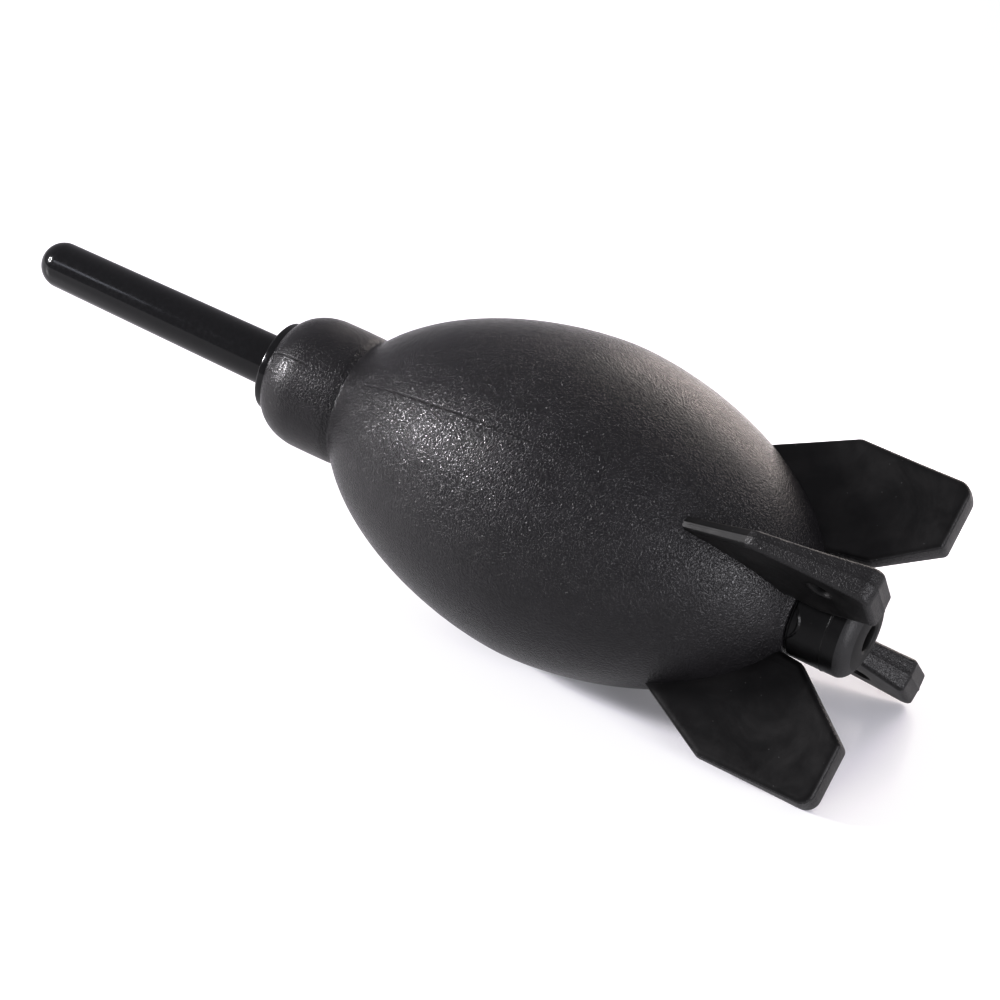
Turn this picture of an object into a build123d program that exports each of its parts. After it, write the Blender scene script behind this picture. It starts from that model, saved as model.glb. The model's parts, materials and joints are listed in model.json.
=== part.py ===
from build123d import *

import os
from math import cos, degrees, radians, sin, sqrt

os.makedirs("parts", exist_ok=True)

# Rocket-shaped rubber air blower, lying on its belly and on two of its four tail fins.
# Along the blower's own axis, "station" is the distance in mm from the plane of the four
# fin feet towards the nozzle tip, and "radius" is the distance from that axis.
# The row frame has +Z up and its origin under the middle of the bounding box, on the floor.
# The nozzle points to -X and the tail to +X.

# ---------------------------------------------------------------- driving dimensions
OVERALL_LENGTH = 189.0

# rubber bulb: two superellipse halves that meet at the widest station
BULB_RADIUS = 31.15
BULB_WIDEST = 66.6
TAIL_HALF_LENGTH, TAIL_POWER = 50.8, 1.80
NOSE_HALF_LENGTH, NOSE_POWER = 51.25, 1.75
NOSE_WALL = 2.5
TAIL_WALL = 5.4
CAVITY_START, CAVITY_END = 30.0, 105.5

# neck that grips the nozzle
NECK_RADIUS = 12.9
NECK_START = 113.2
NECK_SHOULDER = 122.6
NECK_END = 130.5
NECK_MOUTH_RADIUS = 9.8
NECK_BORE = 6.3
NECK_LIP = 9.4
NECK_CAVITY_RADIUS = 9.5

# tail tube that holds the inlet valve
TUBE_RADIUS = 8.9
TUBE_END_RADIUS = 8.75
TUBE_TOP = 18.3
DOME_START = 8.0
DOME_END = 5.0
DOME_FLAT_RADIUS = 4.6
INLET_HOLE_RADIUS = 2.65
VALVE_POCKET_RADIUS = 6.2
VALVE_POCKET_START = 7.0

# tail fins
FIN_RADIUS = 32.55
FIN_KINK = 23.0
FIN_LEAD_STATION, FIN_LEAD_RADIUS = 44.0, 21.5
FOOT_INNER_RADIUS = 19.85
FIN_HEEL_STATION, FIN_HEEL_RADIUS = 11.3, 12.0
FIN_ROOT_STATION, FIN_ROOT_RADIUS = 21.0, 10.6
FOOT_HALF_THICKNESS = 3.4
FIN_WAIST = 1.15
LEAD_HALF_THICKNESS = 1.35
FIN_CORNER_RADIUS = 2.75
FIN_RIM_CHAMFER = 0.7
FIN_ANGLES = {"fin_upper_near": 42, "fin_lower_near": 135, "fin_lower_far": 225, "fin_upper_far": 315}
LANYARD_FINS = ("fin_upper_near", "fin_lower_far")
LANYARD_HOLE_RADIUS = 2.2
LANYARD_STATION, LANYARD_DISTANCE = 10.2, 25.6

# nozzle
COLLAR_RADIUS = 8.9
COLLAR_THICKNESS = 1.9
SPIGOT_RADIUS = 6.25
SPIGOT_LENGTH = 16.0
SPIGOT_GROOVE_DEPTH = 0.5
NOZZLE_BASE_RADIUS = 5.06
NOZZLE_TIP_RADIUS = 4.62
NOZZLE_WALL = 1.3
SHANK_RADIUS = 4.2
SHANK_LENGTH = 12.0
SHANK_CLEARANCE = 0.05
JET_RADIUS = 1.25
JET_LENGTH = 6.0

# inlet valve, a turned brass cartridge in the tail tube
CARTRIDGE_LENGTH = 14.5
CARTRIDGE_BORE = 4.9
SEAT_STATION = 10.5
SEAT_THICKNESS = 1.5
SEAT_HOLE_RADIUS = 2.5
SCREEN_THICKNESS = 0.5
SEAL_THICKNESS = 0.8
DISC_RADIUS = 4.1
DISC_THICKNESS = 1.2
STEM_RADIUS = 0.9
RETAINER_THICKNESS = 1.2
RING_THICKNESS = 0.8
SPRING_RADIUS = 2.4
SPRING_WIRE_RADIUS = 0.25
SPRING_TURNS = 4


# ---------------------------------------------------------------- shape of the bulb
def bulb_radius(station):
    """Outer radius of the bulb at a station."""
    offset = station - BULB_WIDEST
    half, power = (NOSE_HALF_LENGTH, NOSE_POWER) if offset > 0 else (TAIL_HALF_LENGTH, TAIL_POWER)
    return BULB_RADIUS * sqrt(1 - (abs(offset) / half) ** power)


def bulb_curve(first, last, inset=0.0, count=17):
    """Points of the bulb's profile, each moved inwards by the inset."""
    points = []
    for i in range(count):
        station = first + (last - first) * i / (count - 1)
        points.append((station, bulb_radius(station) - inset))
    return points


# ---------------------------------------------------------------- how the blower lies
def fin_half_thickness(station):
    """Half thickness of a fin: a parabola with its ends at the foot and at the leading corner."""
    t = station / FIN_LEAD_STATION
    return FOOT_HALF_THICKNESS * (1 - t) ** 2 + FIN_WAIST * 2 * t * (1 - t) + LEAD_HALF_THICKNESS * t**2


def belly_depth(tilt):
    """Depth of the bulb's lowest point under the foot plane's centre, with the nose up by tilt."""
    stations = [30 + 0.05 * i for i in range(1200)]
    return max(bulb_radius(s) * cos(tilt) - s * sin(tilt) for s in stations)


def fin_depth(tilt):
    """Depth of a lower fin's rear corner under the foot plane's centre."""
    diagonal = cos(tilt) / sqrt(2)
    corner = (FIN_RADIUS - FIN_CORNER_RADIUS) * diagonal - FIN_CORNER_RADIUS * sin(tilt)
    reach = FIN_CORNER_RADIUS * sqrt(sin(tilt) ** 2 + diagonal**2)
    return corner + reach + (fin_half_thickness(2.0) - FIN_RIM_CHAMFER) * diagonal


def rest_tilt():
    """Tilt at which the belly and the lower fins touch the floor together."""
    low, high = 0.0, radians(15)
    for _ in range(60):
        middle = (low + high) / 2
        if belly_depth(middle) > fin_depth(middle):
            low = middle
        else:
            high = middle
    return (low + high) / 2


TILT = rest_tilt()
AXIS_HEIGHT = belly_depth(TILT)
NOSE_REACH = (OVERALL_LENGTH - NOZZLE_TIP_RADIUS) * cos(TILT) + NOZZLE_TIP_RADIUS
UPRIGHT = radians(min(FIN_ANGLES.values()))
FIN_REACH = (
    FIN_CORNER_RADIUS * (1 - cos(TILT))
    + (FIN_RADIUS - FIN_CORNER_RADIUS + FIN_CORNER_RADIUS * sin(TILT)) * sin(TILT) * cos(UPRIGHT)
    + (FOOT_HALF_THICKNESS - FIN_RIM_CHAMFER) * sin(TILT) * sin(UPRIGHT)
)
FOOT_CENTRE = ((NOSE_REACH - FIN_REACH) / 2, 0, AXIS_HEIGHT)
FORWARD = (-cos(TILT), 0, sin(TILT))
UPWARD = Vector(sin(TILT), 0, cos(TILT))

# profile plane: x is the station, y is the radius, straight up at angle 0
profile = Plane(origin=FOOT_CENTRE, x_dir=FORWARD, z_dir=(0, 1, 0))
# cross plane: its normal runs along the blower's axis, towards the nozzle
cross = Plane(origin=FOOT_CENTRE, x_dir=UPWARD, z_dir=FORWARD)
axis = Axis(FOOT_CENTRE, FORWARD)


# ---------------------------------------------------------------- rubber bulb
with BuildPart() as bulb_outside:
    with BuildSketch(profile):
        with BuildLine():
            Polyline(
                (DOME_START, TUBE_END_RADIUS), (TUBE_TOP, TUBE_RADIUS), (TUBE_TOP, bulb_radius(TUBE_TOP))
            )
            Spline(bulb_curve(TUBE_TOP, NECK_START))
            Polyline((NECK_START, bulb_radius(NECK_START)), (NECK_START, NECK_RADIUS),
                     (NECK_SHOULDER, NECK_RADIUS))
            Spline(
                (NECK_SHOULDER, NECK_RADIUS), (NECK_END - 3.2, NECK_RADIUS - 0.85), (NECK_END, NECK_MOUTH_RADIUS),
                tangents=((1, 0), (0.45, -1)),
            )
            Polyline((NECK_END, NECK_MOUTH_RADIUS), (NECK_END, 0), (DOME_END, 0), (DOME_END, DOME_FLAT_RADIUS))
            RadiusArc((DOME_END, DOME_FLAT_RADIUS), (DOME_START, TUBE_END_RADIUS), 5.5)
        make_face()
    revolve(axis=axis)

with BuildPart() as bulb:
    add(bulb_outside.part)
    with BuildSketch(profile):
        with BuildLine():
            cavity = bulb_curve(CAVITY_START, BULB_WIDEST, TAIL_WALL, 9)[:-1]
            cavity += bulb_curve(BULB_WIDEST + 6.0, CAVITY_END, NOSE_WALL, 9)
            Spline(cavity)
            Polyline(cavity[-1], (CAVITY_END, 0), (CAVITY_START, 0), cavity[0])
        make_face()
    revolve(axis=axis, mode=Mode.SUBTRACT)
    with BuildSketch(cross):
        Circle(INLET_HOLE_RADIUS)
    extrude(amount=VALVE_POCKET_START, mode=Mode.SUBTRACT)
    with BuildSketch(cross.offset(VALVE_POCKET_START)):
        Circle(VALVE_POCKET_RADIUS)
    extrude(amount=CAVITY_START + 1 - VALVE_POCKET_START, mode=Mode.SUBTRACT)
    with BuildSketch(cross.offset(CAVITY_END - 1)):
        Circle(NECK_CAVITY_RADIUS)
    extrude(amount=NECK_END - NECK_LIP - CAVITY_END + 1, mode=Mode.SUBTRACT)
    with BuildSketch(cross.offset(NECK_END - NECK_LIP - 1)):
        Circle(NECK_BORE)
    extrude(amount=NECK_LIP + 2, mode=Mode.SUBTRACT)
bulb.part.label = "bulb"
export_step(bulb.part, "parts/bulb.step")


# ---------------------------------------------------------------- tail fins
def radial(angle):
    """Direction away from the axis: 0 is up, 90 is towards -Y."""
    return UPWARD * cos(radians(angle)) - Vector(0, 1, 0) * sin(radians(angle))


def make_fin(name, angle):
    """One fin, wedge-shaped from its thin leading edge to its thick foot."""
    outward = radial(angle)
    plane = Plane(origin=FOOT_CENTRE, x_dir=FORWARD, z_dir=Vector(FORWARD).cross(outward))
    edge_on = Plane(origin=FOOT_CENTRE, x_dir=FORWARD, z_dir=-outward)
    with BuildPart() as fin:
        with BuildSketch(plane):
            with BuildLine():
                FilletPolyline(
                    (FIN_ROOT_STATION, FIN_ROOT_RADIUS), (FIN_HEEL_STATION, FIN_HEEL_RADIUS),
                    (0, FOOT_INNER_RADIUS), (0, FIN_RADIUS), (FIN_KINK, FIN_RADIUS),
                    (FIN_LEAD_STATION, FIN_LEAD_RADIUS), radius=(3.0, 0.8, FIN_CORNER_RADIUS, 1.5),
                )
                Polyline((FIN_LEAD_STATION, FIN_LEAD_RADIUS), (FIN_LEAD_STATION, FIN_ROOT_RADIUS),
                         (FIN_ROOT_STATION, FIN_ROOT_RADIUS))
            make_face()
        extrude(amount=FOOT_HALF_THICKNESS + 1, both=True)
        with BuildSketch(edge_on):
            with BuildLine():
                Bezier(
                    (0, FOOT_HALF_THICKNESS), (FIN_LEAD_STATION / 2, FIN_WAIST),
                    (FIN_LEAD_STATION, LEAD_HALF_THICKNESS),
                )
                Polyline((FIN_LEAD_STATION, LEAD_HALF_THICKNESS), (FIN_LEAD_STATION, 0), (0, 0),
                         (0, FOOT_HALF_THICKNESS))
            make_face()
            mirror(about=Plane.XZ)
        extrude(amount=-FIN_RADIUS - 5, mode=Mode.INTERSECT)
        rims = [e for e in fin.edges() if on_rim(plane.to_local_coords(e.center()))]
        chamfer(rims, length=FIN_RIM_CHAMFER)
        if name in LANYARD_FINS:
            hole_centre = plane.from_local_coords((LANYARD_STATION, LANYARD_DISTANCE, 0))
            with BuildSketch(Plane(origin=hole_centre, z_dir=plane.z_dir)):
                Circle(LANYARD_HOLE_RADIUS)
            extrude(amount=FOOT_HALF_THICKNESS + 2, both=True, mode=Mode.SUBTRACT)
        add(bulb_outside.part, mode=Mode.SUBTRACT)
    fin.part.label = name
    export_step(fin.part, f"parts/{name}.step")


def on_rim(point):
    """True for the middle of an edge where a fin's side meets its rim, in the fin plane's coordinates."""
    outside = point.Y > FIN_LEAD_RADIUS + 1 or point.X < FIN_HEEL_STATION + 1
    return outside and abs(point.Z) > 0.9


for fin_name, fin_angle in FIN_ANGLES.items():
    make_fin(fin_name, fin_angle)


# ---------------------------------------------------------------- nozzle
# The collar's spigot fills the neck's bore, and its flange stops against the neck's mouth.
with BuildPart() as nozzle_collar:
    with BuildSketch(profile):
        with BuildLine():
            groove = SPIGOT_RADIUS - SPIGOT_GROOVE_DEPTH
            spigot = [(NECK_END - SPIGOT_LENGTH, SPIGOT_RADIUS - 0.8)]
            spigot += [(NECK_END - SPIGOT_LENGTH + 1.5, SPIGOT_RADIUS)]
            for start in (4.0, 7.5, 11.0):
                base = NECK_END - SPIGOT_LENGTH + start
                spigot += [(base, SPIGOT_RADIUS), (base, groove), (base + 1.5, groove),
                           (base + 1.5, SPIGOT_RADIUS)]
            spigot += [(NECK_END, SPIGOT_RADIUS), (NECK_END, COLLAR_RADIUS - 0.3),
                       (NECK_END + 0.3, COLLAR_RADIUS), (NECK_END + COLLAR_THICKNESS - 0.5, COLLAR_RADIUS),
                       (NECK_END + COLLAR_THICKNESS, COLLAR_RADIUS - 0.5)]
            socket = SHANK_RADIUS + SHANK_CLEARANCE
            bottom = NECK_END + COLLAR_THICKNESS - SHANK_LENGTH - 0.3
            air_way = SHANK_RADIUS - NOZZLE_WALL
            spigot += [(NECK_END + COLLAR_THICKNESS, socket), (bottom, socket), (bottom, air_way),
                       (NECK_END - SPIGOT_LENGTH, air_way)]
            Polyline(spigot, close=True)
        make_face()
    revolve(axis=axis)
nozzle_collar.part.label = "nozzle_collar"
export_step(nozzle_collar.part, "parts/nozzle_collar.step")

# The tube is drawn out to a round tip with a narrow jet, and its shank turns in the collar.
with BuildPart() as nozzle_tube:
    with BuildSketch(profile):
        with BuildLine():
            shoulder_at = NECK_END + COLLAR_THICKNESS + 0.05
            shank_end = shoulder_at - SHANK_LENGTH
            tip_centre = OVERALL_LENGTH - NOZZLE_TIP_RADIUS
            jet_start = OVERALL_LENGTH - JET_LENGTH
            inner_base = SHANK_RADIUS - NOZZLE_WALL
            tip_edge = (OVERALL_LENGTH - 0.2, JET_RADIUS + 0.1)
            Polyline((shank_end, inner_base), (shank_end, SHANK_RADIUS), (shoulder_at, SHANK_RADIUS),
                     (shoulder_at, NOZZLE_BASE_RADIUS), (tip_centre, NOZZLE_TIP_RADIUS))
            RadiusArc((tip_centre, NOZZLE_TIP_RADIUS), tip_edge, NOZZLE_TIP_RADIUS)
            Polyline(tip_edge, (OVERALL_LENGTH - 0.35, JET_RADIUS), (jet_start, JET_RADIUS),
                     (jet_start - 3.0, inner_base), (shank_end, inner_base))
        make_face()
    revolve(axis=axis)
nozzle_tube.part.label = "nozzle_tube"
export_step(nozzle_tube.part, "parts/nozzle_tube.step")


# ---------------------------------------------------------------- inlet valve
def turned(name, points):
    """A piece turned about the blower's axis from a closed outline of (station, radius) points."""
    with BuildPart() as piece:
        with BuildSketch(profile):
            with BuildLine():
                Polyline(points, close=True)
            make_face()
        revolve(axis=axis)
    piece.part.label = name
    export_step(piece.part, f"parts/{name}.step")


pocket_end = VALVE_POCKET_START + CARTRIDGE_LENGTH
seat_top = SEAT_STATION + SEAT_THICKNESS
screen_top = VALVE_POCKET_START + RING_THICKNESS + SCREEN_THICKNESS
ring_groove = pocket_end - RING_THICKNESS - 0.6

# Brass sleeve with a web in the middle that carries the valve seat.
with BuildPart() as valve_body:
    with BuildSketch(profile):
        with BuildLine():
            Polyline(
                (VALVE_POCKET_START, CARTRIDGE_BORE), (VALVE_POCKET_START, VALVE_POCKET_RADIUS),
                (pocket_end, VALVE_POCKET_RADIUS), (pocket_end, CARTRIDGE_BORE),
                (ring_groove + RING_THICKNESS, CARTRIDGE_BORE),
                (ring_groove + RING_THICKNESS, CARTRIDGE_BORE + 0.5),
                (ring_groove, CARTRIDGE_BORE + 0.5), (ring_groove, CARTRIDGE_BORE),
                (seat_top, CARTRIDGE_BORE), (seat_top, SEAT_HOLE_RADIUS),
                (SEAT_STATION, SEAT_HOLE_RADIUS), (SEAT_STATION, CARTRIDGE_BORE), close=True,
            )
        make_face()
    revolve(axis=axis)
valve_body.part.label = "valve_body"
export_step(valve_body.part, "parts/valve_body.step")

turned("screen_ring", [
    (VALVE_POCKET_START, 3.4), (VALVE_POCKET_START, CARTRIDGE_BORE),
    (VALVE_POCKET_START + RING_THICKNESS, CARTRIDGE_BORE), (VALVE_POCKET_START + RING_THICKNESS, 3.4),
])

turned("seat_seal", [
    (seat_top, SEAT_HOLE_RADIUS + 0.3), (seat_top, CARTRIDGE_BORE),
    (seat_top + SEAL_THICKNESS, CARTRIDGE_BORE), (seat_top + SEAL_THICKNESS, SEAT_HOLE_RADIUS + 0.3),
])

# Perforated disc that keeps dust out of the seat.
with BuildPart() as dust_screen:
    with BuildSketch(cross.offset(VALVE_POCKET_START + RING_THICKNESS)):
        Circle(CARTRIDGE_BORE)
        Circle(0.4, mode=Mode.SUBTRACT)
        with PolarLocations(1.4, 6):
            Circle(0.4, mode=Mode.SUBTRACT)
        with PolarLocations(2.7, 12):
            Circle(0.4, mode=Mode.SUBTRACT)
    extrude(amount=SCREEN_THICKNESS)
dust_screen.part.label = "dust_screen"
export_step(dust_screen.part, "parts/dust_screen.step")

# Poppet: a disc that lies on the seal, with a stem that slides in the retainer.
disc_start = seat_top + SEAL_THICKNESS + 0.02
disc_top = disc_start + DISC_THICKNESS
retainer_start = ring_groove - RETAINER_THICKNESS
turned("valve_disc", [
    (disc_start, 0), (disc_start, DISC_RADIUS), (disc_top, DISC_RADIUS), (disc_top, STEM_RADIUS),
    (pocket_end + 0.5, STEM_RADIUS), (pocket_end + 0.5, 0),
])

# Retainer: a hub and a rim joined by three spokes.
with BuildPart() as valve_retainer:
    with BuildSketch(cross.offset(retainer_start)):
        Circle(CARTRIDGE_BORE)
        Circle(CARTRIDGE_BORE - 0.9, mode=Mode.SUBTRACT)
        Circle(2.9)
        with PolarLocations(0, 3):
            with Locations((CARTRIDGE_BORE / 2, 0)):
                Rectangle(CARTRIDGE_BORE - 0.4, 1.2)
        Circle(STEM_RADIUS + 0.08, mode=Mode.SUBTRACT)
    extrude(amount=RETAINER_THICKNESS)
valve_retainer.part.label = "valve_retainer"
export_step(valve_retainer.part, "parts/valve_retainer.step")

# Open snap ring that sits in the sleeve's groove behind the retainer.
with BuildPart() as snap_ring:
    with BuildSketch(cross.offset(ring_groove)):
        Circle(CARTRIDGE_BORE + 0.45)
        Circle(CARTRIDGE_BORE - 0.6, mode=Mode.SUBTRACT)
        with Locations((CARTRIDGE_BORE, 0)):
            Rectangle(3.0, 2.0, mode=Mode.SUBTRACT)
    extrude(amount=RING_THICKNESS)
snap_ring.part.label = "snap_ring"
export_step(snap_ring.part, "parts/snap_ring.step")

# Light closing spring between the disc and the retainer's hub.
spring_start = disc_top + SPRING_WIRE_RADIUS + 0.05
spring_length = retainer_start - SPRING_WIRE_RADIUS - 0.05 - spring_start
with BuildPart() as valve_spring:
    with BuildLine():
        coil = Helix(
            pitch=spring_length / SPRING_TURNS, height=spring_length, radius=SPRING_RADIUS,
            center=cross.from_local_coords((0, 0, spring_start)), direction=FORWARD,
        )
    with BuildSketch(Plane(origin=coil @ 0, z_dir=coil % 0)):
        Circle(SPRING_WIRE_RADIUS)
    sweep(is_frenet=True)
valve_spring.part.label = "valve_spring"
export_step(valve_spring.part, "parts/valve_spring.step")

print("tilt", round(degrees(TILT), 3), "axis height", round(AXIS_HEIGHT, 3), "foot centre", FOOT_CENTRE)
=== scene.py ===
import json
from math import atan2, cos, degrees, radians, sin, sqrt, tan

import bmesh
import bpy
from mathutils import Matrix, Vector


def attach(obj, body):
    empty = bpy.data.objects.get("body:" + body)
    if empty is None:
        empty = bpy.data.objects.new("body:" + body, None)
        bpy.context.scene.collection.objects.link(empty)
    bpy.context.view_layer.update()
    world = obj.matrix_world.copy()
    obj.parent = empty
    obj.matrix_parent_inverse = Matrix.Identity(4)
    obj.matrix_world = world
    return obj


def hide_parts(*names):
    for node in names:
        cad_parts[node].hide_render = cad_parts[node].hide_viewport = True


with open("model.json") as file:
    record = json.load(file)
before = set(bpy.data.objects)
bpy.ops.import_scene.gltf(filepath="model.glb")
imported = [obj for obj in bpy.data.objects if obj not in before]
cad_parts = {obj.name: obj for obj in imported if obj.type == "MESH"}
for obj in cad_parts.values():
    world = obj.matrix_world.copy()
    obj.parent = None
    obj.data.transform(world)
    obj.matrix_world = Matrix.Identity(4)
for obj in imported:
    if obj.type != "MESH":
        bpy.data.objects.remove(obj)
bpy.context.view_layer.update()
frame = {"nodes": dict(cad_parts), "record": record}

# ---------------------------------------------------------------- the blower's own axes
# "station" is the distance in mm from the plane of the fin feet towards the nozzle tip,
# "radius" the distance from the long axis, and "angle" is 0 straight up and 90 towards -Y.
MM = 0.001
mounts = {mount["name"]: mount for mount in frame["record"]["mounts"]}
FOOT_CENTRE = (Vector(mounts["foot_lower_near"]["pos_m"])
               + Vector(mounts["foot_upper_far"]["pos_m"])) / 2
FORWARD = -Vector(mounts["foot_upper_near"]["axis"]).normalized()
SIDE = Vector((0, -1, 0))
UPWARD = SIDE.cross(FORWARD).normalized()
if UPWARD.z < 0:
    UPWARD = -UPWARD


def radial(angle):
    """The direction straight out from the axis at an angle."""
    return UPWARD * cos(radians(angle)) + SIDE * sin(radians(angle))


def spot(station, radius, angle):
    """A place on the blower, in metres in the CAD's frame."""
    return FOOT_CENTRE + (FORWARD * station + radial(angle) * radius) * MM


# ---------------------------------------------------------------- driving sizes, mm
BULB_RADIUS = 31.15
BULB_WIDEST = 66.6
TAIL_HALF_LENGTH, TAIL_POWER = 50.8, 1.80
NOSE_HALF_LENGTH, NOSE_POWER = 51.25, 1.75
BULB_START, BULB_END = 18.3, 113.2
WALL, INNER_START, NECK_CAVITY = 3.0, 30.0, 9.5
NECK_RADIUS, NECK_SHOULDER, NECK_END, NECK_MOUTH = 12.9, 122.6, 130.5, 9.8
NECK_BORE, NECK_LIP, NECK_DROP = 6.3, 9.4, 5.6
TUBE_RADIUS, DOME_START, DOME_END, HOLE_RADIUS = 8.8, 8.0, 5.0, 2.65
DOME_FLAT = 3.4
POCKET_RADIUS, POCKET_START = 6.2, 7.0
FLASH_STATION, FLASH_HEIGHT, FLASH_HALF = 10.6, 0.13, 0.12
TUBE_SKIN = TUBE_RADIUS + 0.01
UNDERCUT_STATION, UNDERCUT_DEPTH = 17.45, 0.6
# the bulb's end laps over the tail tube as a small curled flap
FLAP_START, FLAP_END = 14.85, 17.2
FLAP_ANGLE, FLAP_HALF_ANGLE = 78, 24
FLAP_EDGE, FLAP_SWEEP, FLAP_HEIGHT, FLAP_WEB = 15.4, 2.4, 0.45, 0.25

FIN_RADIUS, FIN_KINK, FIN_CORNER = 32.55, 23.0, 2.75
FIN_LEAD = (44.0, 21.5)
FIN_HEEL = (11.3, 12.0)
FOOT_INNER = 19.85
FIN_ROOT = (21.0, 10.6)
FOOT_HALF, FIN_WAIST, LEAD_HALF = 3.4, 1.15, 1.35
HOLE_CENTRE, LANYARD_RADIUS = (10.2, 25.6), 2.2
FIN_ANGLES = {"fin_upper_near": 42, "fin_lower_near": 135, "fin_lower_far": 225, "fin_upper_far": 315}
PARTED_FINS = ("fin_upper_near", "fin_lower_far")
FIN_LEANS = {"fin_upper_near": (-0.9, 17.0), "fin_lower_far": (0.8, 30.0)}

SEAM_ANGLES = (43, 223)
SEAM_LEAN = 2.2
SEAM_NARROWS = 16.2
SEAM_CLEAR = 2.0
SEAM_STRIP = (-0.45, -0.22, -0.11, 0.0, 0.11, 0.22, 0.45)
SEAM_GROOVE = {0.0: -0.25, 0.11: -0.09, -0.11: -0.09, 0.22: 0.01, -0.22: 0.01}
SEAM_FIRST, SEAM_FULL = 46, 74
SEAM_LAST, SEAM_FADE = 109, 6


def bulb_radius(station):
    """Outer radius of the bulb at a station."""
    offset = station - BULB_WIDEST
    half, power = (NOSE_HALF_LENGTH, NOSE_POWER) if offset > 0 else (TAIL_HALF_LENGTH, TAIL_POWER)
    return BULB_RADIUS * sqrt(max(0.0, 1 - (abs(offset) / half) ** power))


def spread(first, last, count):
    """Evenly spaced numbers, both ends included."""
    return [first + (last - first) * i / (count - 1) for i in range(count)]


def rounded(corners, steps=6):
    """A path through (station, radius, fillet) corners, with each corner rounded by its fillet."""
    path = []
    for i, (x, y, fillet) in enumerate(corners):
        if fillet == 0 or i in (0, len(corners) - 1):
            path.append((x, y))
            continue
        here = Vector((x, y))
        back = (Vector(corners[i - 1][:2]) - here).normalized()
        ahead = (Vector(corners[i + 1][:2]) - here).normalized()
        turn = back.angle(ahead)
        if turn > radians(179):
            path.append((x, y))
            continue
        reach = fillet / tan(turn / 2)
        centre = here + (back + ahead).normalized() * (fillet / sin(turn / 2))
        start, end = here + back * reach - centre, here + ahead * reach - centre
        for step in range(steps + 1):
            mixed = start.lerp(end, step / steps).normalized() * fillet
            path.append(tuple(centre + mixed))
    return path


# ---------------------------------------------------------------- mesh helpers
def new_object(name, verts, faces, materials, face_slots=None, smooth=True):
    mesh = bpy.data.meshes.new(name)
    mesh.from_pydata([tuple(v) for v in verts], [], faces)
    for material in materials:
        mesh.materials.append(material)
    if face_slots:
        mesh.polygons.foreach_set("material_index", face_slots)
    mesh.polygons.foreach_set("use_smooth", [smooth] * len(faces))
    mesh.update()
    obj = bpy.data.objects.new(name, mesh)
    bpy.context.scene.collection.objects.link(obj)
    return obj


def face_outwards(obj):
    """Turns every face of a closed mesh outwards."""
    mesh = bmesh.new()
    mesh.from_mesh(obj.data)
    bmesh.ops.recalc_face_normals(mesh, faces=mesh.faces)
    mesh.to_mesh(obj.data)
    mesh.free()


def turned(name, loop, materials, slot_of=None, segments=192, seams=(), relief=None, twist=None):
    """A closed solid of revolution about the blower's axis, from a closed loop of (station, radius).
    Each seam angle gets a narrow strip of extra columns, which relief can raise or sink."""
    columns = [(360 * i / segments, None) for i in range(segments)]
    columns = [c for c in columns if all(abs((c[0] - s + 180) % 360 - 180) > SEAM_CLEAR for s in seams)]
    for seam in seams:
        columns += [(seam, offset) for offset in SEAM_STRIP]
    columns.sort(key=lambda c: (c[0], c[1] or 0.0))
    verts = []
    for station, radius in loop:
        lean = twist(station) if twist else 0.0
        for angle, offset in columns:
            shift = degrees((offset or 0.0) / max(radius, SEAM_NARROWS))
            height = relief(station, radius, angle, offset) if relief else 0.0
            verts.append(spot(station, radius + height, angle + shift + lean))
    faces, slots = [], []
    width, rows = len(columns), len(loop)
    for i in range(rows):
        k = (i + 1) % rows
        middle = ((loop[i][0] + loop[k][0]) / 2, (loop[i][1] + loop[k][1]) / 2)
        for j in range(width):
            n = (j + 1) % width
            faces.append((i * width + j, i * width + n, k * width + n, k * width + j))
            slots.append(slot_of(*middle) if slot_of else 0)
    obj = new_object(name, verts, faces, materials, slots)
    face_outwards(obj)
    return obj


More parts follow.
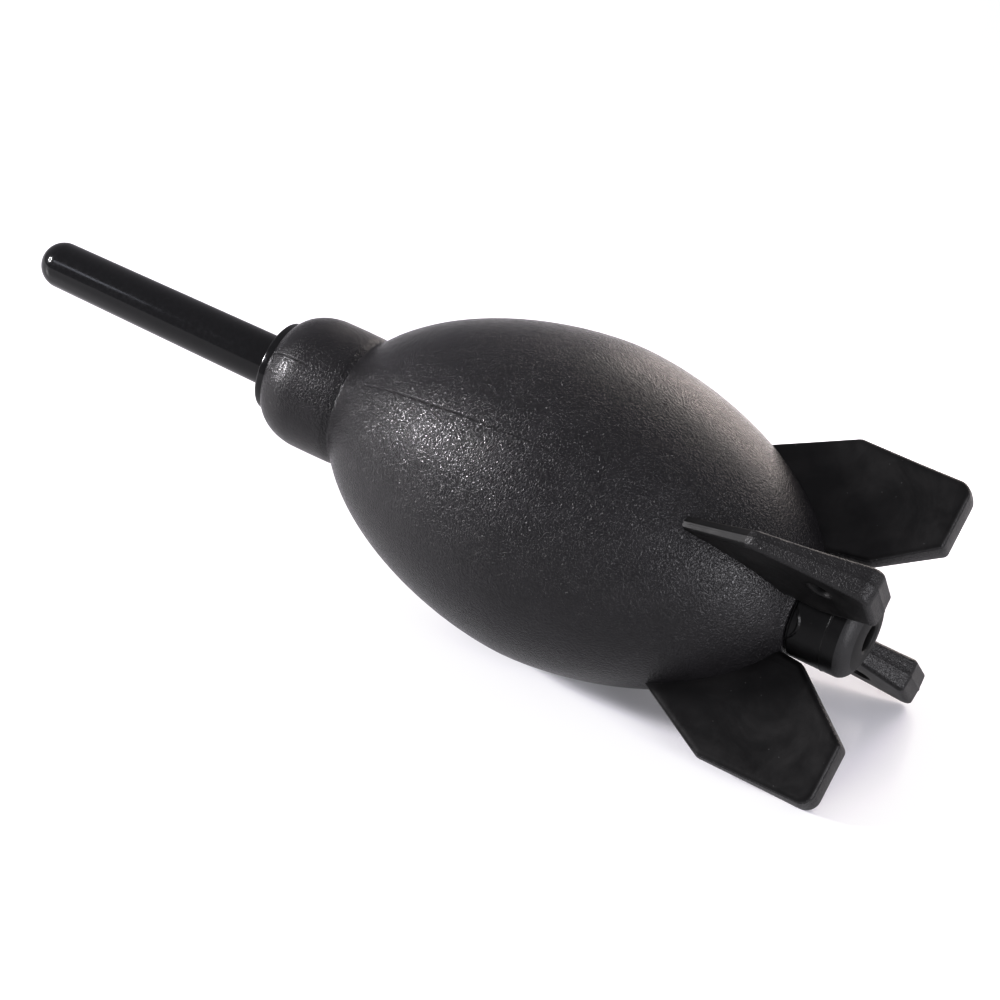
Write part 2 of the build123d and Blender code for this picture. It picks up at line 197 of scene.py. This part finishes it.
# ---------------------------------------------------------------- materials
class Nodes:
    """Short names for building one material's node tree."""

    def __init__(self, name):
        self.material = bpy.data.materials.new(name)
        self.material.use_nodes = True
        self.tree = self.material.node_tree
        self.shader = self.tree.nodes["Principled BSDF"]
        coordinates = self.tree.nodes.new("ShaderNodeTexCoord")
        scale = self.tree.nodes.new("ShaderNodeVectorMath")
        scale.operation = "SCALE"
        scale.inputs["Scale"].default_value = 1000.0
        self.tree.links.new(coordinates.outputs["Object"], scale.inputs[0])
        self.place = scale.outputs[0]

    def link(self, source, target):
        self.tree.links.new(source, target)

    def noise(self, size, detail=2.0, roughness=0.5, distortion=0.0, place=None):
        """Noise whose features are about size mm wide."""
        node = self.tree.nodes.new("ShaderNodeTexNoise")
        node.inputs["Scale"].default_value = 1.0 / size
        node.inputs["Detail"].default_value = detail
        node.inputs["Roughness"].default_value = roughness
        node.inputs["Distortion"].default_value = distortion
        self.link(place or self.place, node.inputs["Vector"])
        return node.outputs["Fac"]

    def cells(self, size, feature="F1", place=None):
        """Voronoi distance in cells about size mm wide."""
        node = self.tree.nodes.new("ShaderNodeTexVoronoi")
        node.feature = feature
        node.inputs["Scale"].default_value = 1.0 / size
        self.link(place or self.place, node.inputs["Vector"])
        return node.outputs["Distance"]

    def window(self, factor, start, end, low=0.0, high=1.0):
        """A value that goes from low to high while the factor goes from start to end."""
        node = self.tree.nodes.new("ShaderNodeMapRange")
        node.inputs["From Min"].default_value = start
        node.inputs["From Max"].default_value = end
        node.inputs["To Min"].default_value = low
        node.inputs["To Max"].default_value = high
        self.link(factor, node.inputs["Value"])
        return node.outputs["Result"]

    def math(self, operation, first, second=0.5):
        node = self.tree.nodes.new("ShaderNodeMath")
        node.operation = operation
        for socket, value in zip(node.inputs, (first, second)):
            if isinstance(value, (int, float)):
                socket.default_value = value
            else:
                self.link(value, socket)
        return node.outputs[0]

    def colour(self, factor, low, high):
        node = self.tree.nodes.new("ShaderNodeMix")
        node.data_type = "RGBA"
        for socket, value in (("A", low), ("B", high)):
            if isinstance(value, tuple):
                node.inputs[socket].default_value = (*value, 1)
            else:
                self.link(value, node.inputs[socket])
        self.link(factor, node.inputs["Factor"])
        return node.outputs["Result"]

    def bump(self, height, depth, normal=None):
        """Bump whose height of 1 stands for depth mm."""
        node = self.tree.nodes.new("ShaderNodeBump")
        node.inputs["Strength"].default_value = 1.0
        node.inputs["Distance"].default_value = depth * MM
        self.link(height, node.inputs["Height"])
        if normal:
            self.link(normal, node.inputs["Normal"])
        return node.outputs["Normal"]

    def finish(self, colour=None, roughness=None, normal=None, **constants):
        for name, value in constants.items():
            self.shader.inputs[name.replace("_", " ")].default_value = value
        if colour is not None:
            self.link(colour, self.shader.inputs["Base Color"])
        if roughness is not None:
            self.link(roughness, self.shader.inputs["Roughness"])
        if normal is not None:
            self.link(normal, self.shader.inputs["Normal"])
        return self.material


def grained_rubber(name, dark, light, grain_depth, polish, fineness=1.0):
    """Black moulded rubber with a fine leather grain and a dull, slightly dusty sheen."""
    n = Nodes(name)
    wander = n.tree.nodes.new("ShaderNodeTexNoise")
    wander.inputs["Scale"].default_value = 1.6
    n.link(n.place, wander.inputs["Vector"])
    bend = n.tree.nodes.new("ShaderNodeVectorMath")
    bend.operation = "MULTIPLY_ADD"
    bend.inputs[1].default_value = (0.35, 0.35, 0.35)
    n.link(wander.outputs["Color"], bend.inputs[0])
    n.link(n.place, bend.inputs[2])
    worms = n.window(n.noise(0.37 * fineness, 1.0, 0.5, 0.5, bend.outputs[0]), 0.40, 0.60)
    pits = n.cells(0.31 * fineness, "SMOOTH_F1", bend.outputs[0])
    relief = n.math("ADD", n.math("MULTIPLY", worms, 0.55), n.math("MULTIPLY", pits, -0.9))
    waves = n.noise(14.0, 1.0)
    dust = n.noise(5.0, 4.0, 0.6)
    normal = n.bump(waves, 0.10)
    normal = n.bump(relief, grain_depth, normal)
    tint = n.colour(n.window(dust, 0.35, 0.75), dark, light)
    rough = n.window(dust, 0.3, 0.8, *polish)
    return n.finish(tint, rough, normal, Specular_IOR_Level=0.30)


def smooth_rubber(name, dark, light, low_rough, high_rough, shine=0.22):
    """Black rubber moulded against polished steel: satin, with faint flow marks and handling haze."""
    n = Nodes(name)
    flow = n.noise(13.0, 3.0, 0.55, 1.4)
    haze = n.noise(5.5, 5.0, 0.62, 0.6)
    fine = n.noise(0.22, 2.0, 0.6)
    normal = n.bump(flow, 0.16)
    normal = n.bump(fine, 0.012, normal)
    mixed = n.math("MULTIPLY", flow, haze)
    tint = n.colour(n.window(mixed, 0.17, 0.38), dark, light)
    specks = n.window(n.cells(2.4), 0.050, 0.030)
    tint = n.colour(specks, tint, (0.045, 0.045, 0.045))
    rough = n.window(mixed, 0.12, 0.42, low_rough, high_rough)
    return n.finish(tint, rough, normal, Specular_IOR_Level=shine)


def polished_plastic(name):
    """Glossy black injection-moulded plastic with hairline scuffs."""
    n = Nodes(name)
    waves = n.noise(7.0, 1.0)
    specks = n.noise(0.9, 3.0, 0.7)
    normal = n.bump(waves, 0.05)
    rough = n.window(specks, 0.45, 0.8, 0.13, 0.26)
    tint = n.colour(n.window(specks, 0.4, 0.8), (0.0018, 0.0018, 0.0022), (0.0040, 0.0040, 0.0048))
    return n.finish(tint, rough, normal, Specular_IOR_Level=0.38)


def turned_metal(name, colour, rough):
    """Metal with fine turning marks about the blower's axis and slight tarnish."""
    n = Nodes(name)
    along = n.tree.nodes.new("ShaderNodeVectorMath")
    along.operation = "DOT_PRODUCT"
    along.inputs[1].default_value = FORWARD
    n.link(n.place, along.inputs[0])
    marks = n.math("SINE", n.math("MULTIPLY", along.outputs["Value"], 40.0))
    tarnish = n.noise(2.0, 3.0, 0.6)
    normal = n.bump(marks, 0.004)
    darker = tuple(c * 0.6 for c in colour)
    tint = n.colour(n.window(tarnish, 0.3, 0.8), colour, darker)
    roughness = n.window(tarnish, 0.3, 0.8, rough, rough + 0.15)
    return n.finish(tint, roughness, normal, Metallic=1.0)


def lit_floor():
    """A white acrylic table that is lit a little from below, so that it stays white in soft shadow."""
    n = Nodes("floor_acrylic")
    mottle = n.noise(60.0, 2.0)
    tint = n.colour(mottle, (0.52, 0.52, 0.525), (0.54, 0.54, 0.545))
    n.shader.inputs["Emission Color"].default_value = (0.95, 0.95, 1.0, 1)
    return n.finish(tint, Roughness=0.35, Specular_IOR_Level=0.2, Emission_Strength=0.13)


GRAINED = grained_rubber(
    "rubber_grained", (0.0080, 0.0075, 0.0084), (0.0112, 0.0105, 0.0117), 0.105, (0.21, 0.28), 0.96)
NECK_GRAINED = grained_rubber(
    "rubber_neck_grained", (0.0095, 0.0089, 0.0098), (0.0130, 0.0122, 0.0134), 0.062, (0.23, 0.30), 0.88)
RIM_GRAINED = grained_rubber(
    "rubber_rim_grained", (0.0080, 0.0078, 0.0082), (0.0120, 0.0115, 0.0120), 0.080, (0.36, 0.44))
DOME_GRAINED = grained_rubber(
    "rubber_dome_matte", (0.018, 0.018, 0.0185), (0.025, 0.025, 0.0255), 0.030, (0.45, 0.55))
SMOOTH = smooth_rubber(
    "rubber_smooth", (0.0016, 0.0015, 0.0016), (0.0072, 0.0068, 0.0068), 0.34, 0.46)
TUBE_SMOOTH = smooth_rubber(
    "rubber_tube_smooth", (0.0020, 0.0020, 0.0021), (0.0045, 0.0045, 0.0046), 0.28, 0.40)
HOLE_WALL = smooth_rubber(
    "rubber_hole_wall", (0.0030, 0.0030, 0.0030), (0.0050, 0.0050, 0.0050), 0.5, 0.6, 0.15)
LEAD_EDGE = smooth_rubber(
    "rubber_lead_edge", (0.0030, 0.0030, 0.0031), (0.0060, 0.0058, 0.0060), 0.46, 0.56, 0.17)
INSIDE = smooth_rubber("rubber_inside", (0.010, 0.010, 0.010), (0.016, 0.016, 0.016), 0.5, 0.6)
PLASTIC = polished_plastic("nozzle_black_gloss")


# ---------------------------------------------------------------- rubber bulb, neck and tail tube
BULB_MATERIALS = [GRAINED, TUBE_SMOOTH, DOME_GRAINED, INSIDE, NECK_GRAINED]
SKIN_SLOT, TUBE_SLOT, DOME_SLOT, INSIDE_SLOT, NECK_SLOT = range(5)


def tube_outline():
    """The tail tube's outside: the inlet hole's edge, the domed end, the flash line and the flap's bed."""
    path = rounded([
        (POCKET_START, HOLE_RADIUS, 0), (DOME_END + 0.3, HOLE_RADIUS, 0.25),
        (DOME_END, HOLE_RADIUS + 0.45, 0),
    ], 3)
    for turn in spread(90, 0, 14):
        path.append((DOME_START - (DOME_START - DOME_END) * sin(radians(turn)),
                     DOME_FLAT + (TUBE_RADIUS - DOME_FLAT) * cos(radians(turn))))
    path += [(s, TUBE_RADIUS) for s in spread(DOME_START + 0.6, FLASH_STATION - 0.3, 5)]
    path += [(FLASH_STATION - FLASH_HALF, TUBE_SKIN), (FLASH_STATION, TUBE_RADIUS + FLASH_HEIGHT),
             (FLASH_STATION + FLASH_HALF, TUBE_SKIN)]
    path += [(s, TUBE_SKIN) for s in spread(FLASH_STATION + 0.4, FLAP_START - 0.25, 6)]
    path += [(s, TUBE_SKIN) for s in spread(FLAP_START, FLAP_END, 17)]
    undercut = TUBE_RADIUS - UNDERCUT_DEPTH
    return path + rounded([
        (FLAP_END + 0.1, TUBE_SKIN, 0), (UNDERCUT_STATION, undercut, 0.12),
        (UNDERCUT_STATION + 0.35, undercut, 0.12),
        (BULB_START - 0.35, bulb_radius(BULB_START) - 0.1, 0.3),
        (BULB_START + 0.5, bulb_radius(BULB_START + 0.5), 0),
    ], 4)[1:]


def neck_outline():
    """The neck's outside from the bulb to its mouth, then its bore and the cavity behind it."""
    path = rounded([
        (BULB_END - 0.6, bulb_radius(BULB_END - 0.6), 0), (BULB_END, NECK_RADIUS - 0.25, 0.35),
        (BULB_END + 1.6, NECK_RADIUS, 4.0), (NECK_SHOULDER - 4, NECK_RADIUS + 0.06, 0),
    ], 5)[1:]
    depth = NECK_END - NECK_SHOULDER + 0.7
    for turn in spread(0, 66, 22):
        path.append((NECK_SHOULDER + depth * sin(radians(turn)),
                     NECK_RADIUS + 0.05 - NECK_DROP * (1 - cos(radians(turn)))))
    lip = path.pop()
    return path + rounded([
        lip + (0,), (NECK_END, NECK_MOUTH, 0.35), (NECK_END, NECK_BORE, 0.3),
        (NECK_END - NECK_LIP, NECK_BORE, 0), (NECK_END - NECK_LIP, NECK_CAVITY, 0.5),
        (BULB_END - 8, NECK_CAVITY, 0),
    ], 4)


def bulb_loop():
    """Closed outline of the bulb's wall: outside from the inlet hole to the neck, then back inside."""
    loop = tube_outline()
    loop += [(s, bulb_radius(s)) for s in spread(BULB_START + 0.7, BULB_WIDEST, 90)]
    loop += [(s, bulb_radius(s)) for s in spread(BULB_WIDEST + 0.5, BULB_END - 0.7, 90)]
    loop += neck_outline()
    loop += [(s, bulb_radius(s) - WALL) for s in spread(BULB_END - 9, INNER_START, 60)]
    return loop + [(INNER_START, POCKET_RADIUS), (POCKET_START, POCKET_RADIUS)]


def seam_depth(station):
    """Depth share of the parting line: plain on the bulb's nose, worn away at the widest part and neck."""
    if station > BULB_END:
        return 0.9 if station > NECK_SHOULDER else 0.3
    first = max(0.0, min(1.0, (station - SEAM_FIRST) / (SEAM_FULL - SEAM_FIRST)))
    return first * max(0.25, min(1.0, (SEAM_LAST - station) / SEAM_FADE))


def flap_height(station, angle):
    """Height of the curled flap on the near side of the tail tube."""
    swing = max(-1.0, min(1.0, (angle - FLAP_ANGLE) / FLAP_HALF_ANGLE))
    edge = FLAP_EDGE + FLAP_SWEEP * swing**2
    crest = max(0.0, 1 - abs(station - edge - 0.25) / 0.3)
    web = FLAP_WEB if station > edge + 0.3 else 0.0
    return (FLAP_HEIGHT * crest + web) * (1 - swing**4)


def skin_relief(station, radius, angle, offset):
    """The mould's parting line, a fine groove with a slight burr, and the flap on the tail tube."""
    if radius > TUBE_RADIUS - 0.5 and 14.8 < station < 17.6:
        return flap_height(station, angle)
    outside = station > BULB_END or radius > bulb_radius(station) - 0.5
    if offset is None or not outside or station < BULB_START or radius < 8:
        return 0.0
    return SEAM_GROOVE.get(offset, 0.0) * seam_depth(station)


def seam_twist(station):
    """The parting line leans a little from the fins' plane towards the neck."""
    share = (station - FIN_LEAD[0]) / (BULB_END - FIN_LEAD[0])
    return SEAM_LEAN * max(0.0, min(1.0, share))


def bulb_slot(station, radius):
    """Which of the bulb's materials a face gets, from the middle of its strip of outline."""
    inner_wall = radius < bulb_radius(station) - 1 and BULB_START + 2 < station < BULB_END
    if radius < 6.7 or inner_wall:
        return INSIDE_SLOT
    if station <= DOME_START + 0.1:
        return DOME_SLOT
    if station > BULB_END + 0.8:
        return NECK_SLOT
    return TUBE_SLOT if station < 17.7 else SKIN_SLOT


bulb = turned("bulb_moulding", bulb_loop(), BULB_MATERIALS, bulb_slot,
              segments=240, seams=SEAM_ANGLES, relief=skin_relief, twist=seam_twist)
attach(bulb, "rubber_body")
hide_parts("bulb")


# ---------------------------------------------------------------- tail fins
RIM, RIM_DROP, HOLE_ROUND = 1.25, 0.85, 0.35
RIM_CROWN = 0.12
PARTING_HEIGHT, PARTING_WIDTH = 0.13, 0.20
LEAST_FILLET = 0.25
FIN_MATERIALS = [SMOOTH, RIM_GRAINED, HOLE_WALL, LEAD_EDGE]
SIDE_SLOT, RIM_SLOT, HOLE_SLOT, LEAD_SLOT = range(4)
HEEL_FILLET, LONG_HEEL_FILLET = 2.6, 1.9
LONG_HEELS = {"fin_lower_near": ((13.6, 9.5), (21.0, 8.7))}


def fin_corners(name):
    """A fin's outline as (station, radius, fillet); one fin's heel reaches the tail tube."""
    heel, root = LONG_HEELS.get(name, (FIN_HEEL, FIN_ROOT))
    fillet = LONG_HEEL_FILLET if name in LONG_HEELS else HEEL_FILLET
    return [
        (*heel, fillet), (0, FOOT_INNER, 1.2), (0, FIN_RADIUS, FIN_CORNER), (FIN_KINK, FIN_RADIUS, 2.0),
        (*FIN_LEAD, 1.3), (FIN_LEAD[0], FIN_ROOT[1], 1.0), (*root, 1.0),
    ]


def half_thickness(station):
    """Half of a fin's thickness: thick at the foot, waisted, thin at the leading edge."""
    t = max(0.0, station) / FIN_LEAD[0]
    return FOOT_HALF * (1 - t) ** 2 + FIN_WAIST * 2 * t * (1 - t) + LEAD_HALF * t**2


def set_back(corners, distance):
    """The corners of a convex outline whose edges have all moved inwards by a distance."""
    count = len(corners)
    lines = []
    for i in range(count):
        start, end = Vector(corners[i][:2]), Vector(corners[(i + 1) % count][:2])
        along = (end - start).normalized()
        lines.append((start + Vector((along.y, -along.x)) * distance, along))
    moved = []
    for i in range(count):
        (p, d), (q, e) = lines[i - 1], lines[i]
        share = ((q - p).x * e.y - (q - p).y * e.x) / (d.x * e.y - d.y * e.x)
        moved.append((*(p + d * share), max(corners[i][2] - distance, LEAST_FILLET)))
    return moved


def fin_outline(corners, distance, steps=8, spacing=0.9):
    """Points round a fin at a distance inside its outline: always the same number of them."""
    count = len(corners)
    arcs = []
    moved = set_back(corners, distance)
    for i in range(count):
        arcs.append(rounded([moved[i - 1], moved[i], moved[(i + 1) % count]], steps)[1:-1])
    points = []
    for i in range(count):
        begin, end = Vector(arcs[i][-1]), Vector(arcs[(i + 1) % count][0])
        edge = (Vector(corners[i][:2]) - Vector(corners[(i + 1) % count][:2])).length
        pieces = max(2, round(edge / spacing))
        points += [Vector(point) for point in arcs[i]]
        points += [begin.lerp(end, k / pieces) for k in range(1, pieces)]
    return points


def fin_rings(parted):
    """Half of a fin's skin from its hole to its mid-plane, as (kind, distance, amount) rings. Distance
    is how far the ring is set back from the outline; amount is a side ring's share of the way to the
    hole, a bevel's turn in degrees, a crown's height and a parting's share of the parting line."""
    rings = [("side", RIM, share) for share in [1.0, 0.97] + spread(0.93, 0.0, 14)]
    for turn in spread(80, 0, 9):
        rings.append(("bevel" if turn > 30 else "edge", RIM * (1 - cos(radians(turn))), turn))
    rings.append(("shoulder", -RIM_CROWN * 0.7, 0.5))
    if parted:
        rings.append(("crown", -RIM_CROWN, 1.6 * PARTING_WIDTH))
        rings.append(("parting", -RIM_CROWN - PARTING_HEIGHT, 0.35))
        rings.append(("parting", -RIM_CROWN - PARTING_HEIGHT, 0.0))
    else:
        rings.append(("parting", -RIM_CROWN, 0.0))
    return rings


def ring_level(kind, amount, half, parted):
    """Height of a ring's point over the fin's mid-plane, where the fin is half that thick."""
    bevel = min(RIM_DROP, half * 0.35)
    if kind in ("bevel", "edge"):
        return half - bevel * (1 - sin(radians(amount)))
    if kind == "shoulder":
        return (half - bevel) * amount
    if kind == "crown":
        return min(amount, half * 0.4)
    if kind == "parting":
        return amount * PARTING_WIDTH
    return half - (HOLE_ROUND if parted and amount == 1.0 else 0.0)


def fin_faces(kinds, on_lead, count, parted):
    """Faces between the rings of a fin's skin, and the material slot of each."""
    faces, slots = [], []
    polished = ("side",) if parted else ("side", "bevel")
    for r in range(len(kinds) if parted else len(kinds) - 1):
        k = (r + 1) % len(kinds)
        for i in range(count):
            n = (i + 1) % count
            faces.append((r * count + i, r * count + n, k * count + n, k * count + i))
            if r == len(kinds) - 1:
                slots.append(HOLE_SLOT)
            elif kinds[r] in polished and kinds[k] in polished:
                slots.append(SIDE_SLOT)
            else:
                slots.append(LEAD_SLOT if on_lead[r * count + i] else RIM_SLOT)
    return faces, slots


def make_fin(name, angle):
    parted = name in PARTED_FINS
    middle = Vector(HOLE_CENTRE)
    hole = LANYARD_RADIUS if parted else 0.6
    tangent = radial(angle).cross(FORWARD).normalized()
    lean, pivot = FIN_LEANS.get(name, (0.0, 20.0))
    corners = fin_corners(name)
    verts, kinds, on_lead = [], [], []
    half_skin = fin_rings(parted)
    skin = [(ring, 1) for ring in half_skin] + [(ring, -1) for ring in reversed(half_skin[:-1])]
    for (kind, distance, amount), way in skin:
        for flat in fin_outline(corners, distance):
            if kind == "side":
                flat = flat.lerp(middle + (flat - middle).normalized() * hole, amount)
            level = ring_level(kind, amount, half_thickness(flat.x), parted)
            sway = lean * (1 - flat.x / pivot) * flat.y / FIN_RADIUS
            verts.append(spot(flat.x, flat.y, angle) + tangent * (level * way + sway) * MM)
            on_lead.append(flat.x > FIN_KINK + 0.8)
        kinds.append(kind)
    count = len(verts) // len(skin)
    faces, slots = fin_faces(kinds, on_lead, count, parted)
    if not parted:
        for ring, way in ((0, 1), (len(skin) - 1, -1)):
            verts.append(spot(*middle, angle) + tangent * half_thickness(middle.x) * way * MM)
            last = len(verts) - 1
            faces += [(last, ring * count + i, ring * count + (i + 1) % count) for i in range(count)]
            slots += [SIDE_SLOT] * count
    fin = new_object(name + "_moulding", verts, faces, FIN_MATERIALS, slots)
    face_outwards(fin)
    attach(fin, "rubber_body")
    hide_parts(name)


for fin_name, fin_angle in FIN_ANGLES.items():
    make_fin(fin_name, fin_angle)


# ---------------------------------------------------------------- nozzle
COLLAR_RADIUS, COLLAR_TOP = 8.9, 132.4
SPIGOT_RADIUS, SPIGOT_START = 6.25, 114.5
SHANK_RADIUS, SHANK_START = 4.2, 120.45
NOZZLE_BASE, NOZZLE_TIP, NOZZLE_END = 5.06, 4.62, 189.0
AIR_WAY, JET_RADIUS, JET_LENGTH = 2.9, 1.25, 6.0
GROOVE_STATIONS, GROOVE_WIDTH, GROOVE_DEPTH = (118.5, 122.0, 125.5), 1.5, 0.5
CLEARANCE = 0.05

collar_corners = [(SPIGOT_START, AIR_WAY, 0), (SPIGOT_START, SPIGOT_RADIUS, 0.6)]
for groove in GROOVE_STATIONS:
    end, floor_radius = groove + GROOVE_WIDTH, SPIGOT_RADIUS - GROOVE_DEPTH
    collar_corners += [(groove, SPIGOT_RADIUS, 0.1), (groove, floor_radius, 0.15),
                       (end, floor_radius, 0.15), (end, SPIGOT_RADIUS, 0.1)]
collar_corners += [
    (NECK_END + 0.02, SPIGOT_RADIUS, 0), (NECK_END + 0.02, COLLAR_RADIUS, 0.35),
    (COLLAR_TOP, COLLAR_RADIUS, 0.45), (COLLAR_TOP, SHANK_RADIUS + CLEARANCE, 0.15),
    (SHANK_START - 0.3, SHANK_RADIUS + CLEARANCE, 0), (SHANK_START - 0.3, AIR_WAY, 0),
]
collar = turned("nozzle_collar_moulding", rounded(collar_corners, 4), [PLASTIC])
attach(collar, "nozzle_holder")
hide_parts("nozzle_collar")

tip_centre = NOZZLE_END - NOZZLE_TIP
tube_path = rounded([
    (SHANK_START, AIR_WAY, 0), (SHANK_START, SHANK_RADIUS, 0.3), (COLLAR_TOP + CLEARANCE, SHANK_RADIUS, 0),
    (COLLAR_TOP + CLEARANCE, NOZZLE_BASE, 0.12), (tip_centre, NOZZLE_TIP, 0),
], 4)
mouth_turn = degrees(atan2(JET_RADIUS + 0.12, NOZZLE_TIP))
for turn in spread(4, 90 - mouth_turn, 18):
    tube_path.append((tip_centre + NOZZLE_TIP * sin(radians(turn)), NOZZLE_TIP * cos(radians(turn))))
tube_path += [(NOZZLE_END - 0.35, JET_RADIUS), (NOZZLE_END - JET_LENGTH, JET_RADIUS),
              (NOZZLE_END - JET_LENGTH - 3.0, AIR_WAY)]
nozzle = turned("nozzle_tube_moulding", tube_path, [PLASTIC])
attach(nozzle, "nozzle")
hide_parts("nozzle_tube")


# ---------------------------------------------------------------- inlet valve, as the CAD has it
def give(node, material):
    """Colours a CAD node, whose mesh stays as it is."""
    data = frame["nodes"][node].data
    data.materials.clear()
    data.materials.append(material)


BRASS = turned_metal("valve_brass_turned", (0.60, 0.42, 0.18), 0.25)
BLACK_STEEL = turned_metal("screen_black_steel", (0.035, 0.035, 0.037), 0.40)
STEEL = turned_metal("spring_steel_drawn", (0.50, 0.50, 0.51), 0.25)
SEAL = smooth_rubber("seal_red_rubber", (0.20, 0.025, 0.015), (0.28, 0.045, 0.030), 0.45, 0.55)
ACETAL = smooth_rubber("retainer_acetal", (0.55, 0.55, 0.52), (0.68, 0.68, 0.65), 0.35, 0.45)
give("valve_body", BRASS)
give("screen_ring", BRASS)
give("dust_screen", BLACK_STEEL)
give("seat_seal", SEAL)
give("valve_disc", INSIDE)
give("valve_retainer", ACETAL)
give("snap_ring", STEEL)
give("valve_spring", STEEL)


# ---------------------------------------------------------------- floor, camera and lights
FLOOR_HALF = 3
floor_corners = [(x * FLOOR_HALF, y * FLOOR_HALF, 0) for x, y in ((-1, -1), (1, -1), (1, 1), (-1, 1))]
floor = new_object("floor", floor_corners, [(0, 1, 2, 3)], [lit_floor()])

AZIMUTH, ELEVATION, ROLL = 28.25, 29.84, 4.77
DISTANCE, LENS = 0.590, 115.1
AIM = Vector((0.01476, -0.00681, 0.03054))

az, el = radians(AZIMUTH), radians(ELEVATION)
backward = Vector((sin(az) * cos(el), -cos(az) * cos(el), sin(el)))
level = Vector((cos(az), sin(az), 0))
right = (Matrix.Rotation(radians(ROLL), 3, backward) @ level).normalized()
up = backward.cross(right)

camera = bpy.data.objects.new("camera", bpy.data.cameras.new("camera"))
camera.data.lens, camera.data.sensor_width = LENS, 36.0
camera.data.clip_start = 0.01
camera.matrix_world = Matrix.Translation(AIM + backward * DISTANCE) @ Matrix(
    (right, up, backward)).transposed().to_4x4()
bpy.context.scene.collection.objects.link(camera)
bpy.context.scene.camera = camera


def soft_light(name, from_view, distance, size, power, colour=(1, 1, 1)):
    """An area light in a direction given as (right, up, backward) shares, aimed at the bulb."""
    way = (right * from_view[0] + up * from_view[1] + backward * from_view[2]).normalized()
    data = bpy.data.lights.new(name, "AREA")
    data.shape, data.size, data.size_y = "RECTANGLE", *size
    data.energy, data.color = power, colour
    lamp = bpy.data.objects.new(name, data)
    lamp.location = AIM + way * distance
    lamp.rotation_euler = way.to_track_quat("Z", "Y").to_euler()
    bpy.context.scene.collection.objects.link(lamp)


soft_light("key_left", (-0.90, 0.41, 0.20), 1.0, (0.16, 0.16), 12.0, (1.0, 0.98, 1.0))
soft_light("spot_left", (-0.76, 0.34, 0.56), 1.0, (0.12, 0.12), 0.17, (0.85, 0.88, 1.0))
soft_light("rim_right", (0.58, 0.64, -0.50), 0.9, (0.75, 0.58), 4.8, (1.0, 0.91, 0.85))
soft_light("low_right", (0.75, -0.30, 0.58), 1.1, (0.4, 0.4), 1.8, (0.97, 0.96, 1.0))
soft_light("front_right", (0.56, -0.20, 0.80), 1.2, (0.45, 0.45), 9.0, (0.97, 0.96, 1.0))

world = bpy.data.worlds.new("studio")
world.use_nodes = True
world.node_tree.nodes["Background"].inputs["Color"].default_value = (0.95, 0.925, 1.0, 1)
world.node_tree.nodes["Background"].inputs["Strength"].default_value = 0.43
bpy.context.scene.world = world

# the picture is developed as a catalogue cut-out is: dark tones as they are, pale greys pushed to white
TONES = ((0.06, 0.055), (0.18, 0.196), (0.34, 0.52), (0.48, 0.88), (0.57, 1.0))
develop = bpy.context.scene.view_settings
develop.view_transform = "Standard"
develop.use_curve_mapping = True
tone_curve = develop.curve_mapping.curves[3]
for shade in TONES:
    tone_curve.points.new(*shade)
develop.curve_mapping.update()
